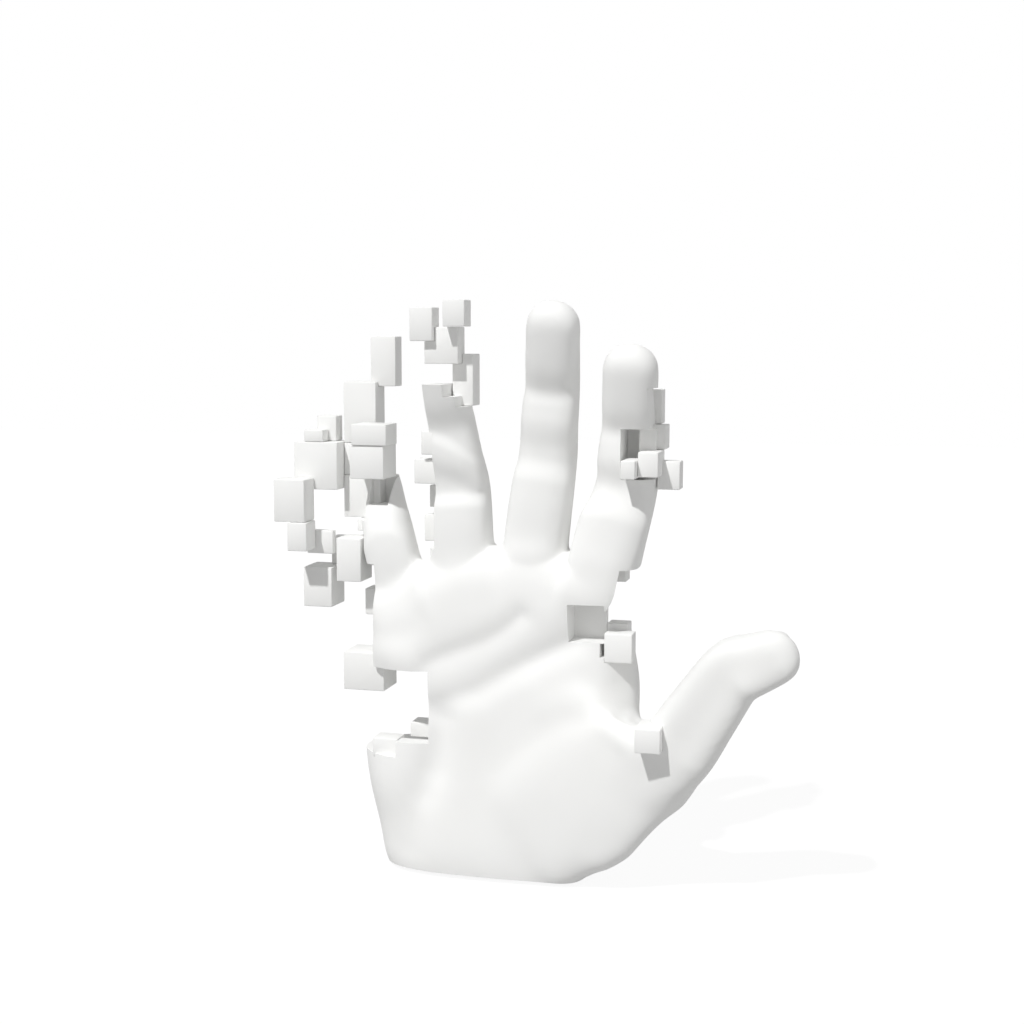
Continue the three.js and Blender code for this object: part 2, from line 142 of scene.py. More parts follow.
# %% Room and lamps
# A lamp's travel is the way its light goes, and its disc is how broad it looks
ROOM_STRENGTH = 0.33
KEY_STRENGTH = 2.5
KEY_TRAVEL = Vector((0.28, 0.74, -1.0))
KEY_DISC = math.radians(2.0)
FILL_STRENGTH = 0.45
FILL_TRAVEL = Vector((-0.9, 0.4, -0.3))
FILL_DISC = math.radians(100)

world = bpy.data.worlds.new("white room")
world.use_nodes = True
tree = world.node_tree
tree.nodes.clear()
seen = seen_directly(tree)
dim = add_node(tree, "ShaderNodeBackground", {"Color": linear("#FFFFFF"), "Strength": ROOM_STRENGTH})
white = add_node(tree, "ShaderNodeBackground", {"Color": linear("#FFFFFF"), "Strength": 1.0})
mixed = add_node(tree, "ShaderNodeMixShader", {0: seen, 1: dim.outputs[0], 2: white.outputs[0]})
add_node(tree, "ShaderNodeOutputWorld", {"Surface": mixed.outputs[0]})
bpy.context.scene.world = world


def add_sun(name, strength, travel, disc):
    data = bpy.data.lights.new(name, "SUN")
    data.energy = strength
    data.angle = disc
    lamp = bpy.data.objects.new(name, data)
    lamp.rotation_euler = travel.to_track_quat("-Z", "Y").to_euler()
    bpy.context.scene.collection.objects.link(lamp)


add_sun("key", KEY_STRENGTH, KEY_TRAVEL, KEY_DISC)
add_sun("fill", FILL_STRENGTH, FILL_TRAVEL, FILL_DISC)
print("key lamp", round(math.degrees(math.asin(-KEY_TRAVEL.normalized().z))), "degrees high")

# %% [markdown]
# ## The floor
# The photograph is white all over. The floor glows white to the camera, and a share of its real, lit
# surface is left in, so that the hand still has a shadow to stand on. The light that it throws back on
# the hand is that of a pale grey sheet, because a pure white one would make the undersides of the blocks
# too bright.

# %% Floor
FLOOR_SIZE = 4.0
LIT_SHARE = 0.12
GLOW_STRENGTH = 1.05

material, tree = new_material("white studio floor")
seen = seen_directly(tree)
lit = add_node(tree, "ShaderNodeBsdfDiffuse", {"Color": linear("#F4F4F4")})
glow = add_node(tree, "ShaderNodeEmission", {"Color": linear("#FFFFFF"), "Strength": GLOW_STRENGTH})
shown = add_node(tree, "ShaderNodeMixShader", {0: LIT_SHARE, 1: glow.outputs[0], 2: lit.outputs[0]})
bounce = add_node(tree, "ShaderNodeBsdfDiffuse", {"Color": linear("#BCBCBC")})
mixed = add_node(tree, "ShaderNodeMixShader", {0: seen, 1: bounce.outputs[0], 2: shown.outputs[0]})
add_node(tree, "ShaderNodeOutputMaterial", {"Surface": mixed.outputs[0]})

bm = bmesh.new()
bmesh.ops.create_grid(bm, x_segments=1, y_segments=1, size=FLOOR_SIZE / 2)
floor_mesh = bpy.data.meshes.new("floor")
bm.to_mesh(floor_mesh)
bm.free()
floor_mesh.materials.append(material)
floor = bpy.data.objects.new("floor", floor_mesh)
bpy.context.scene.collection.objects.link(floor)
print("floor", FLOOR_SIZE, "m square")

# %% [markdown]
# ## White sprayed resin
# The hand and its blocks are polyurethane resin, sanded and sprayed with a matt white lacquer. To the eye
# that is a bright white without gloss, with the faint cloudiness of a hand-sprayed coat and a fine dry
# grain. The real grain is about a tenth of a millimetre: it is drawn six times as coarse here, or it
# would not show.

# %% Lacquer material
CLOUD_MM = 32
GRAIN_MM = 0.6
GRAIN_HEIGHT_MM = 0.012

lacquer, tree = new_material("matt white lacquer on cast resin")
place = add_node(tree, "ShaderNodeTexCoord").outputs["Object"]
clouds = add_node(tree, "ShaderNodeTexNoise",
                  {"Vector": place, "Scale": 1 / (CLOUD_MM * MM), "Detail": 3.0, "Roughness": 0.55})
tint = add_node(tree, "ShaderNodeMix",
                {"Factor": clouds.outputs["Fac"], "A": linear("#F1F1EF"), "B": linear("#F5F5F4")},
                data_type="RGBA")
grain = add_node(tree, "ShaderNodeTexNoise",
                 {"Vector": place, "Scale": 1 / (GRAIN_MM * MM), "Detail": 2.0, "Roughness": 0.6})
dryness = add_node(tree, "ShaderNodeMapRange",
                   {"Value": grain.outputs["Fac"], "To Min": 0.56, "To Max": 0.72})
relief = add_node(tree, "ShaderNodeBump",
                  {"Height": grain.outputs["Fac"], "Distance": GRAIN_HEIGHT_MM * MM, "Strength": 0.6})
paint = add_node(tree, "ShaderNodeBsdfPrincipled",
                 {"Base Color": tint.outputs["Result"], "Roughness": dryness.outputs["Result"],
                  "IOR": 1.46, "Specular IOR Level": 0.35, "Normal": relief.outputs["Normal"]})
add_node(tree, "ShaderNodeOutputMaterial", {"Surface": paint.outputs[0]})
print("made", lacquer.name)

# %% [markdown]
# ## Felt
# The pad under the wrist is pressed wool felt: dark grey, with no gloss at all and short fibres that lie
# in every direction. A distorted noise gives that tangle, in the colour and in the relief.

# %% Felt material
FIBRE_MM = 0.8
FIBRE_HEIGHT_MM = 0.15

felt, tree = new_material("pressed wool felt")
place = add_node(tree, "ShaderNodeTexCoord").outputs["Object"]
fibres = add_node(tree, "ShaderNodeTexNoise",
                  {"Vector": place, "Scale": 1 / (FIBRE_MM * MM), "Detail": 5.0, "Distortion": 2.0})
tint = add_node(tree, "ShaderNodeMix",
                {"Factor": fibres.outputs["Fac"], "A": linear("#3C3F42"), "B": linear("#5A5D60")},
                data_type="RGBA")
relief = add_node(tree, "ShaderNodeBump",
                  {"Height": fibres.outputs["Fac"], "Distance": FIBRE_HEIGHT_MM * MM})
wool = add_node(tree, "ShaderNodeBsdfPrincipled",
                {"Base Color": tint.outputs["Result"], "Roughness": 0.95, "Sheen Weight": 0.3,
                 "Normal": relief.outputs["Normal"]})
add_node(tree, "ShaderNodeOutputMaterial", {"Surface": wool.outputs[0]})
print("made", felt.name)

# %% [markdown]
# ## Steel
# The dowels and pins are ground steel rod. They are hidden in the resin, so the CAD shape is good enough
# and only gets a better material: bare metal, with a polish that varies over the marks of the grinding
# wheel.

# %% Steel material
GRINDING_MM = 0.4

steel, tree = new_material("ground steel rod")
place = add_node(tree, "ShaderNodeTexCoord").outputs["Object"]
marks = add_node(tree, "ShaderNodeTexNoise",
                 {"Vector": place, "Scale": 1 / (GRINDING_MM * MM), "Detail": 3.0})
polish = add_node(tree, "ShaderNodeMapRange",
                  {"Value": marks.outputs["Fac"], "To Min": 0.25, "To Max": 0.45})
rod = add_node(tree, "ShaderNodeBsdfPrincipled",
               {"Base Color": linear("#B9BCC0"), "Metallic": 1.0, "Roughness": polish.outputs["Result"]})
add_node(tree, "ShaderNodeOutputMaterial", {"Surface": rod.outputs[0]})

STEEL_NODES = [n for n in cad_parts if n.endswith(("_dowel", "_pin"))]
for name in STEEL_NODES:
    for material_slot in bpy.data.objects[name].material_slots:
        material_slot.material = steel
print("made", steel.name, "for", len(STEEL_NODES), "nodes")

# %% [markdown]
# ## Limbs
# A finger is a tube whose width and depth change along its bones, with a rounded end. The quickest clean
# way is to extrude a straight tube ring by ring, and then to bend it: each ring is sent to its place on a
# smooth curve through the joints, and gets the width, front depth and back depth of that place.

# %% Curve helpers
CURVE_STEP = 0.02


def on_curve(points, t):
    i = min(int(t), len(points) - 2)
    f = t - i
    before, a, b, after = (points[min(max(i + k, 0), len(points) - 1)] for k in (-1, 0, 1, 2))
    bend = 2 * before - 5 * a + 4 * b - after
    return 0.5 * (2 * a + (b - before) * f + bend * f ** 2 + (3 * a - before - 3 * b + after) * f ** 3)


def limb_frame(stations, t):
    last = len(stations) - 1
    centres = [Vector(s[:3]) for s in stations]
    up = on_curve(centres, min(t + CURVE_STEP, last)) - on_curve(centres, max(t - CURVE_STEP, 0))
    up.normalize()
    ahead = Vector((0, -1, 0))
    ahead = (ahead - up * ahead.dot(up)).normalized()
    size = on_curve([Vector(s[3:]) for s in stations], t)
    return on_curve(centres, t), up, ahead, up.cross(ahead), size


print("a direction is taken over", 2 * CURVE_STEP, "of a bone")

# %% Straight tube
DOME_RINGS = 6


def tube_rings(length):
    quarter = [math.pi / 2 * k / DOME_RINGS for k in range(DOME_RINGS)]
    rings = [(math.cos(q), -math.sin(q)) for q in reversed(quarter)]
    rings += [(1, k) for k in range(1, length)]
    return rings + [(math.cos(q), length + math.sin(q)) for q in quarter]


def straight_tube(bm, length, sides):
    (radius, height), *others = tube_rings(length)
    ring = bmesh.ops.create_circle(bm, cap_ends=True, segments=sides, radius=radius)["verts"]
    bmesh.ops.translate(bm, verts=ring, vec=(0, 0, height))
    made = set(ring)
    cap = ring[0].link_faces[0]
    for next_radius, next_height in others:
        extruded = bmesh.ops.extrude_face_region(bm, geom=[cap])["geom"]
        ring = [g for g in extruded if isinstance(g, bmesh.types.BMVert)]
        cap = next(g for g in extruded if isinstance(g, bmesh.types.BMFace))
        bmesh.ops.scale(bm, verts=ring, vec=(next_radius / radius, next_radius / radius, 1))
        bmesh.ops.translate(bm, verts=ring, vec=(0, 0, next_height - height))
        radius, height = next_radius, next_height
        made.update(ring)
    return made


print("a straight tube has", 2 * DOME_RINGS, "rings in its ends")

# %% Bent limb
LIMB_SIDES = 32
BONE_RINGS = 6
# The power in the outline of a section: 2 is an ellipse, and more is squarer
LIMB_SQUARENESS = 2.2


def add_limb(bm, stations, dome, squareness=LIMB_SQUARENESS, sides=LIMB_SIDES):
    last = len(stations) - 1
    for vert in straight_tube(bm, last * BONE_RINGS, sides):
        x, y, z = vert.co
        t = min(max(z / BONE_RINGS, 0), last)
        beyond = z - t * BONE_RINGS
        centre, up, ahead, side, (wide, front, back) = limb_frame(stations, t)
        turn = math.atan2(y, x)
        square = abs(math.cos(turn)) ** squareness + abs(math.sin(turn)) ** squareness
        reach = math.hypot(x, y) * square ** (-1 / squareness)
        depth = front if y > 0 else back
        vert.co = (centre + side * (reach * math.cos(turn) * wide)
                   + ahead * (reach * math.sin(turn) * depth) + up * (beyond * dome))


print("a limb has", LIMB_SIDES, "sides and", BONE_RINGS, "rings from station to station")

# %% [markdown]
# ## The digits in the rough
# The joints of each digit are laid down the way an armature is bent, at the places that the photograph
# shows. A finger is a little flatter than it is broad, its pads stand out on the palm side between the
# joints, and its section is a rounded square more than a circle. The thumb is squarer still.

# %% Digit sizes
# Joints from the root to the centre of the rounded tip, and half the width at each of them
DIGITS = {
    "thumb": ([(42, -5.5, 32), (62.8, -16.5, 48.6), (81.8, -24.5, 77), (94.6, -27.5, 83.2)],
              (14.5, 12.5, 10, 8.5)),
    "index": ([(33.4, 1, 92), (43.8, 0, 130), (45.2, -2.5, 149), (46.8, -10.5, 168.4)],
              (12.2, 10, 8.8, 8.8)),
    "middle": ([(11.5, 1, 92), (17.7, 0, 138), (19.9, -2.5, 161), (22.2, -11.5, 182)],
               (11, 9.5, 8.7, 8.6)),
    "ring": ([(-10.5, 1, 90), (-11.6, 0, 128), (-14, -4.5, 150), (-15.6, -13, 169)],
             (10.6, 9.5, 8.2, 7.8)),
    "little": ([(-30.3, 1, 86), (-37.4, 0, 113.5), (-42.5, 6.5, 127), (-47, 8.5, 142)],
               (8.4, 8.2, 7.4, 6.6)),
}
FLATNESS = 0.84
DIGIT_SQUARENESS = 2.6
THUMB_SQUARENESS = 4.5
TIP_ROUNDNESS = 0.95
# How far the palm side and the back stand out from the plain tube, at each joint and mid-bone in turn
PAD_SWELL = (2.0, 1.6, 0.6, 0.6, 0, 0.6, -0.2)
BACK_SWELL = (0, -0.4, 0.5, -0.5, 0.2, -0.4, -0.6)
print("digits:", ", ".join(DIGITS))

# %% Lay down the digits
def digit_stations(joints, widths):
    stations = []
    for i in range(2 * len(joints) - 1):
        a, b = i // 2, (i + 1) // 2
        centre = (Vector(joints[a]) + Vector(joints[b])) / 2
        wide = (widths[a] + widths[b]) / 2
        deep = wide * FLATNESS
        stations.append((*centre, wide, deep + PAD_SWELL[i], deep + BACK_SWELL[i]))
    return stations


clay = bmesh.new()
digit_shapes = {name: digit_stations(*shape) for name, shape in DIGITS.items()}
for name, stations in digit_shapes.items():
    square = THUMB_SQUARENESS if name == "thumb" else DIGIT_SQUARENESS
    add_limb(clay, stations, dome=TIP_ROUNDNESS * stations[-1][3], squareness=square)
print("digits laid down:", len(clay.verts), "points")

# %% [markdown]
# ## The palm in the rough
# The masses of the palm are put on like lumps of clay: the slab of the palm and wrist, the roll below the
# fingers, the ball of the thumb with the muscle that fans out from it, and the pad at the heel.
# Overlapping limbs are easier to fit to a photograph than one sculpted block, because each has its own
# few numbers.

# %% Palm masses
# Each station is a centre, half a width, a depth to the palm side and a depth to the back
PALM_SLAB = [
    (-2, 0, -4, 33, 14.5, 16.5),
    (-2, 0, 4.1, 36, 16.8, 18),
    (-2.5, 0.5, 12, 37, 17.8, 17.5),
    (-2, 1, 36, 43.5, 17, 16.5),
    (1.5, 1.5, 62, 47.2, 16, 14.5),
    (1.8, 1, 79, 44.3, 14.2, 13),
    (0, 1, 93, 42.5, 12.5, 11.5),
]
FINGER_ROLL = [
    (-34, -1, 85, 12, 10, 10),
    (-14, -1, 93, 14, 10.4, 11),
    (12, -1, 98.3, 12, 10.4, 11),
    (37, -1, 94, 12, 10, 11),
]
THUMB_BALL = [
    (15.5, -6.5, 18.5, 23, 12, 16),
    (36, -10, 34, 24.8, 10.4, 17),
    (56, -14, 42.2, 15.4, 9.6, 14),
]
THUMB_FAN = [
    (-4, -2, 34, 20, 12.5, 8),
    (17, -4, 48, 22, 12.5, 8),
    (33, -7.5, 59, 12, 9.4, 8),
]
HEEL_PAD = [
    (-24, -1, 14, 13, 13.5, 10),
    (-28, -2, 30, 15, 14.2, 10),
    (-28, -1, 46, 14, 14.5, 10),
]
add_limb(clay, PALM_SLAB, dome=11, squareness=3, sides=56)
add_limb(clay, FINGER_ROLL, dome=8)
add_limb(clay, THUMB_BALL, dome=14, squareness=3.6)
add_limb(clay, THUMB_FAN, dome=9)
add_limb(clay, HEEL_PAD, dome=10)
bmesh.ops.recalc_face_normals(clay, faces=clay.faces[:])
print("palm laid down:", len(clay.verts), "points")

# %% [markdown]
# ## One skin
# The real hand has one unbroken skin. Boolean unions would join the limbs with hard seams. A voxel remesh
# drops everything inside and leaves one even net of faces, which is also what the later smoothing and
# pressing need.

# %% Fuse the masses
SKIN_VOXEL_MM = 0.8


def object_from(bm, name):
    mesh = bpy.data.meshes.new(name)
    bm.to_mesh(mesh)
    bm.free()
    made = bpy.data.objects.new(name, mesh)
    bpy.context.scene.collection.objects.link(made)
    return made


def apply_modifiers(piece):
    bpy.context.view_layer.update()
    graph = bpy.context.evaluated_depsgraph_get()
    mesh = bpy.data.meshes.new_from_object(piece.evaluated_get(graph))
    piece.modifiers.clear()
    old = piece.data
    piece.data = mesh
    bpy.data.meshes.remove(old)


hand = object_from(clay, "hand_skin")
fuse = hand.modifiers.new("fuse", "REMESH")
fuse.mode = "VOXEL"
fuse.voxel_size = SKIN_VOXEL_MM
apply_modifiers(hand)
print("fused skin:", len(hand.data.vertices), "points")

# %% [markdown]
# ## Tools for the skin
# From here on the skin is worked like clay under a thumb. One tool smooths it, as strongly as a weight on
# each point says. The other presses it: a point moves along its own normal by an amount that falls off
# smoothly with its distance from a line or a spot. Sculpting brushes do the same, but a script can be run
# again.

# %% Smoothing helper
SMOOTH_FACTOR = 0.5


def ramp(value, zero, one):
    return min(max((value - zero) / (one - zero), 0), 1)


def smooth_skin(piece, rounds, softness):
    group = piece.vertex_groups.new(name="softness")
    for vertex in piece.data.vertices:
        group.add([vertex.index], softness(vertex.co), "REPLACE")
    smooth = piece.modifiers.new("smooth", "SMOOTH")
    smooth.factor = SMOOTH_FACTOR
    smooth.iterations = rounds
    smooth.vertex_group = group.name
    apply_modifiers(piece)
    piece.vertex_groups.clear()


print("each round of smoothing takes up to", SMOOTH_FACTOR, "of the way")

# %% Pressing helpers
PALM_SIDE = (0, -1, 0)
# How far a normal leans to the pressed side before its point moves, and how much more moves it fully
LEAN_FROM, LEAN_SPAN = 0.1, 0.3


def read_points(mesh):
    points = np.empty(3 * len(mesh.vertices))
    normals = np.empty(3 * len(mesh.vertices), dtype=np.float32)
    mesh.vertices.foreach_get("co", points)
    mesh.vertex_normals.foreach_get("vector", normals)
    return points.reshape(-1, 3), normals.reshape(-1, 3).astype(float)


def move_points(mesh, points, directions, amount):
    points += directions * amount[:, None]
    mesh.vertices.foreach_set("co", points.ravel())
    mesh.update()


def distance_to(points, line):
    line = np.array(line, float)
    nearest = np.linalg.norm(points - line[0], axis=1)
    for a, b in zip(line[:-1], line[1:]):
        along = np.clip((points - a) @ (b - a) / ((b - a) @ (b - a)), 0, 1)
        nearest = np.minimum(nearest, np.linalg.norm(points - a - along[:, None] * (b - a), axis=1))
    return nearest


def press(mesh, line, width, height, facing=PALM_SIDE):
    points, normals = read_points(mesh)
    toward = np.clip((normals @ np.array(facing, float) - LEAN_FROM) / LEAN_SPAN, 0, 1)
    falloff = np.exp(-(distance_to(points, line) / width) ** 2)
    move_points(mesh, points, normals, height * falloff * toward)


def press_all(mesh, marks):
    for mark in marks:
        press(mesh, *mark)


print("a press is full from a lean of", LEAN_FROM + LEAN_SPAN)

# %% [markdown]
# ## Facet of the web
# Between the index finger and the thumb the real hand is almost flat and falls away to the back, which
# throws that strip into shade. A box cut would leave hard corners there. Instead, each point that stands
# beyond a plane is moved back to it, and the effect fades out above, below and towards the thumb.

# %% Shave the web
WEB_POINT = np.array((39.8, -10.75, 0))
WEB_NORMAL = np.array((0.74, -0.67, 0))
# Limits of the facet, each with the length over which it fades out
WEB_LOW, LOW_FADE = 60, 7
WEB_HIGH, HIGH_FADE = 82, 5
WEB_OUTER, OUTER_FADE = 54, 3


def shave_web(mesh):
    points, _ = read_points(mesh)
    beyond = np.clip((points - WEB_POINT) @ WEB_NORMAL, 0, None)
    x, z = points[:, 0], points[:, 2]
    near = np.clip((z - WEB_LOW) / LOW_FADE, 0, 1)
    near *= np.clip((WEB_HIGH - z) / HIGH_FADE, 0, 1)
    near *= np.clip((WEB_OUTER - x) / OUTER_FADE, 0, 1)
    amount = beyond * near
    move_points(mesh, points, np.broadcast_to(-WEB_NORMAL, points.shape), amount)
    return amount


shaved = shave_web(hand.data)
print("shaved up to", round(shaved.max(), 1), "mm")

# %% [markdown]
# ## Smoothing the clay
# The fused clay still shows where the masses meet. The palm is smoothed strongly and the fingers lightly.
# The lower edge of the thumb ball is firm on the real hand, so the strong smoothing stays away from it,
# and the root of the thumb gets the most, because three masses meet there.

# %% Smooth the clay
# Lower edge of the thumb ball, from the wrist to the root of the thumb
LOWER_EDGE = (Vector((30, -6, 2)), Vector((63, -10, 31)))
THUMB_ROOT = Vector((66, -8, 33))
# Each pair is where a smoothing begins and where it is full: two levels, two places across, two distances
PALM_LEVELS = (98, 76)
WEB_LEVELS = (118, 96)
THUMB_PLACES = (62, 46)
EDGE_DISTANCES = (8, 18)
ROOT_DISTANCES = (22, 10)


def edge_distance(p):
    start, end = LOWER_EDGE
    share = (p - start).dot(end - start) / (end - start).length_squared
    return (p - start.lerp(end, min(max(share, 0), 1))).length


def palm_softness(p):
    palm = ramp(p.z, *PALM_LEVELS) * ramp(p.x, *THUMB_PLACES)
    return palm * ramp(edge_distance(p), *EDGE_DISTANCES)


SMOOTHINGS = [
    # rounds, and the share of each round that a point takes
    (110, palm_softness),
    (16, lambda p: ramp(p.z, *PALM_LEVELS)),
    (24, lambda p: ramp(p.z, *WEB_LEVELS)),
    (160, lambda p: ramp((p - THUMB_ROOT).length, *ROOT_DISTANCES)),
    (8, lambda p: 1),
]
for rounds, softness in SMOOTHINGS:
    smooth_skin(hand, rounds, softness)
print("smoothed", len(hand.data.vertices), "points")

# %% [markdown]
# ## Lines of the palm
# A palm folds along two long lines, and a valley parts the ball of the thumb from the heel. Each is a few
# points read off the photograph, pressed in with one width and one depth. Below the life line the skin is
# raised a little, like the lip of a fold. The valley grows shallower towards the wrist, so it is pressed
# three times, each time over a longer reach.

# %% Palm lines
HEAD_LINE = [(-20, -11, 71.5), (-9, -11, 76.3), (-0.5, -11, 79.7), (6.3, -11, 83.7), (12, -11, 88.8)]
LIFE_LINE = [
    (-18.1, -13, 57.4), (-10.2, -13, 60.6), (-1.6, -13, 63.8), (6.8, -13, 69.3),
    (15.2, -13, 74), (23.5, -13, 78.4), (30, -12, 81.5),
]
HEEL_LINE = [
    (-14.5, -14, 52.5), (-15.5, -15, 44.8), (-17, -15, 36.9),
    (-19.5, -15, 29.2), (-23, -15, 20.3), (-25, -15, 10),
]


def moved(line, x, y, z):
    return [(p[0] + x, p[1] + y, p[2] + z) for p in line]


PALM_LINES = [
    # line, width, height: below zero the skin goes in
    (HEAD_LINE, 4, -1.3),
    (LIFE_LINE, 4, -1.2),
    (moved(LIFE_LINE, 3, 0, -8), 6, 0.2),
    (moved(LIFE_LINE[4:], 4, -2, -9), 9, 1.0),
    (HEEL_LINE[:3], 5.5, -0.8),
    (HEEL_LINE[:4], 5.5, -0.8),
    (HEEL_LINE, 5.5, -0.8),
]
press_all(hand.data, PALM_LINES)
print("palm lines:", len(PALM_LINES), "presses")

# %% [markdown]
# ## Swellings of the palm
# A relaxed palm bulges below the fingers and at its outer edge, and the ball of the thumb has a full
# lower rim and a flatter top. The same tool raises the bulges and the rim and lowers the top: a few soft
# strokes do it, and the masses below stay as they are.

# %% Palm swellings
ULNAR_MOUND = [(-36, -10, 74), (-26, -11, 72)]
SHOULDER = [(-10, -11, 102), (8, -11, 109), (24, -11, 109), (40, -10, 106)]
CREST = [(-35, -11, 82), (-14, -12, 92), (12, -12, 96), (38, -11, 95)]
CREST_FOOT = [(-30, -12, 73), (-14, -13, 81), (12, -13, 85), (25, -13, 88)]
MIDDLE_ROOT = [(10, -11, 107), (18, -11, 107)]
LOWER_RIM = [(40, -13, 12), (47, -14, 17), (56, -15, 27), (63, -15, 34)]
BALL_TOP = [(27, -19, 48), (36, -20, 47), (50, -22, 46)]
PALM_SWELLINGS = [
    # line, width, height
    (ULNAR_MOUND, 7, 2.0),
    (SHOULDER, 5, 0.5),
    (CREST, 9, 2.0),
    (CREST_FOOT, 9, 1.1),
    (MIDDLE_ROOT, 5, 0.7),
    (LOWER_RIM, 5, 1.8),
    (BALL_TOP, 13, -1.0),
]
press_all(hand.data, PALM_SWELLINGS)
print("palm swellings:", len(PALM_SWELLINGS))

# %% [markdown]
# ## Web of the thumb
# The web is a saddle between the palm and the thumb, with a small bump and a step beside the block that
# sits on it. The saddle is pressed from above, because the web faces up there. A few rounds of smoothing
# then take the edge off every mark on the palm side.

# %% Web marks
UPPER_SIDE = (0, 0, 1)
WEB_SADDLE = [(53, -8, 57)]
WEB_DENT = [(47.5, -9, 60), (51, -9, 55)]
WEB_BUMP = [(39, -18, 60)]
WEB_STEP = [(43, -18, 58), (48, -19, 53)]
WEB_MARKS = [
    # line, width, height, and the side pressed where it isn't the palm side
    (WEB_SADDLE, 6, -3.0, UPPER_SIDE),
    (WEB_DENT, 2.5, -1.2),
    (WEB_BUMP, 6, 1.4),
    (WEB_STEP, 4.5, 2.2),
]
MARK_ROUNDS = 5
MARK_LEVELS = (106, 100)
FRONT_PLACES = (2, -4)
press_all(hand.data, WEB_MARKS)
smooth_skin(hand, MARK_ROUNDS, lambda p: ramp(p.z, *MARK_LEVELS) * ramp(p.y, *FRONT_PLACES))
print("web marks:", len(WEB_MARKS))

# %% [markdown]
# ## Finger creases
# Where a finger folds, the pad below the crease stands out like a shelf, and its top catches the light. A
# thin groove would not show at this size. So a part of the pad is raised: steeply at the crease, which
# may arch or slant across the finger, and fading out smoothly below it.

# %% Crease sizes
# swell is how far the pad stands out, rise how much the middle of the crease lies above its ends, slant
# how steeply it runs across, shift where it lies along the finger from the joint, slope how long the
# slope of the shelf is, and reach how far below the crease the pad has died away again
CREASES = {
    # digit, station: swell, rise, slant, shift, slope, reach
    ("index", 2): (2.8, 2.0, 0.0, -5.0, 11, 42),
    ("index", 4): (1.0, 1.0, 0.0, -0.5, 6, 16),
    ("middle", 2): (1.5, 1.0, 0.0, -2.2, 8, 38),
    ("middle", 4): (1.0, 0.5, 0.0, -0.5, 6, 16),
    ("ring", 2): (1.8, 1.0, 0.0, -2.0, 6, 34),
    ("ring", 4): (1.2, 3.0, -0.6, -5.0, 5, 14),
    ("little", 2): (1.7, 6.0, 0.0, -1.0, 8, 30),
}
# The shelf fades out this far beyond the finger's sides, and is full at this lean of the skin
SIDE_FADE = 4
FULL_LEAN = 0.7
# Points further off than this belong to another digit: shares of the reach and of the finger's depth
NEAR_ALONG, NEAR_OUT = 1.5, 2.5
CREASE_ROUNDS = 2
CREASE_LEVELS = (102, 106)
print("creases:", len(CREASES))

# %% Raise the pads
def soft_step(rise):
    rise = np.clip(rise, 0, 1)
    return rise ** 2 * (3 - 2 * rise)


def shape_crease(mesh, stations, t, swell, rise, slant, shift, slope, reach):
    points, normals = read_points(mesh)
    centre, up, ahead, side, (wide, front, back) = limb_frame(stations, t)
    offset = points - np.array(centre)
    across, along, out = (offset @ np.array(axis) for axis in (side, up, ahead))
    below = rise * (0.5 - (across / wide) ** 2) + slant * across + shift - along
    shelf = soft_step(below / slope + 0.5) * soft_step((reach - below) / (reach - slope))
    shelf *= np.clip((wide + SIDE_FADE - np.abs(across)) / SIDE_FADE, 0, 1)
    toward = np.clip((normals @ np.array(ahead)) / FULL_LEAN, 0, 1)
    near = (np.abs(along) < NEAR_ALONG * reach) & (np.abs(out) < NEAR_OUT * front)
    move_points(mesh, points, normals, np.where(near, swell * shelf * toward, 0))


for (name, t), crease in CREASES.items():
    shape_crease(hand.data, digit_shapes[name], t, *crease)
smooth_skin(hand, CREASE_ROUNDS, lambda p: ramp(p.z, *CREASE_LEVELS))
print("pads raised by up to", max(crease[0] for crease in CREASES.values()), "mm")

# %% [markdown]
# ## Thumb rim and fingertips
# The lower rim of the thumb is fuller than a plain tube, so a line along it is raised. The three whole
# fingertips are rounder than the end of a tube, and smoothing alone makes them so.

# %% Thumb rim and fingertips
# Places along the thumb, and where its rim lies: shares of its half width and of its depth
RIM_PLACES = (2.4, 3.2, 4.0, 4.7)
RIM_ACROSS, RIM_OUT = 0.6, 0.9
RIM_WIDTH, RIM_HEIGHT = 5, 1.0
WHOLE_TIPS = ("thumb", "index", "middle")
TIP_ROUNDS = 24
TIP_DISTANCES = (16, 11)


def rim_point(stations, t):
    centre, up, ahead, side, (wide, front, back) = limb_frame(stations, t)
    lower = side if side.z < 0 else -side
    return centre + lower * RIM_ACROSS * wide + ahead * RIM_OUT * front


thumb_rim = [rim_point(digit_shapes["thumb"], t) for t in RIM_PLACES]
press(hand.data, thumb_rim, RIM_WIDTH, RIM_HEIGHT)
tips = [Vector(DIGITS[name][0][-1]) for name in WHOLE_TIPS]
smooth_skin(hand, TIP_ROUNDS, lambda p: max(ramp((p - tip).length, *TIP_DISTANCES) for tip in tips))
print("rounded tips:", len(tips))

# %% [markdown]
# ## The back of the hand
# The photograph doesn't show the back, but a hand in the round has one: the heads of the knuckles with
# hollows between them, the tendons that fan out from the wrist, and the wrinkles over the finger joints.
# They are pressed from the back with the same tool.

# %% Knuckles and tendons
BACK_SIDE = (0, 1, 0)
KNUCKLES = [(34.5, 13, 95), (12, 13, 99), (-11, 13, 95.5), (-30.5, 11, 88)]
# Mid-hand and wrist: the share of the knuckles' spread left there, a shift, the depth and the level
TENDON_STOPS = [(0.55, -1, 14.5, 55), (0.35, -2, 17, 18)]
HOLLOW_DEPTH = 13
# Width and height of each kind of mark
TENDON_MARK = (3.2, 1.0)
KNUCKLE_MARK = (7.5, 2.4)
HOLLOW_MARK = (6, -1.2)

